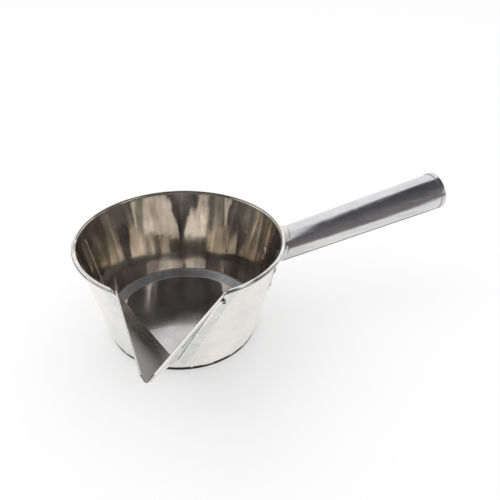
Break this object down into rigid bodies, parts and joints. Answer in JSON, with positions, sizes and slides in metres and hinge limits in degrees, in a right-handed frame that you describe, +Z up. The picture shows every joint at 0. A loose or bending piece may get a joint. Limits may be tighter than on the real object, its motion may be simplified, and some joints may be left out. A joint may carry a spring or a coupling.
{
  "type": "pouring ladle",
  "caption": "Pouring ladle in polished steel sheet: tapered bowl with a rolled rim, a long folded V spout to one side, and a tapered tube handle riveted on through a slotted collar.",
  "frame": {"origin": "centre of the bowl's foot, in the plane it stands on", "axes": "+Z up along the bowl's axis, +X along the handle from above, the spout towards -Y and a little -X"},
  "size_m": [0.3173, 0.239, 0.1017],
  "materials": {
    "bowl_sheet": "polished, with faint rolling and spinning marks",
    "handle_sheet": "polished, a little duller than the bowl",
    "rivets": "plain, satin"
  },
  "bodies": {
    "root": {"bowl_wall": "bowl_sheet", "base_disc": "bowl_sheet", "spout": "bowl_sheet", "spout_rivet": "rivets", "handle_bracket": "handle_sheet", "bracket_rivets": "rivets", "middle_rivet": "rivets", "handle_tube": "handle_sheet", "tab_rivets": "rivets", "handle_cap": "handle_sheet"}
  },
  "joints": []
}
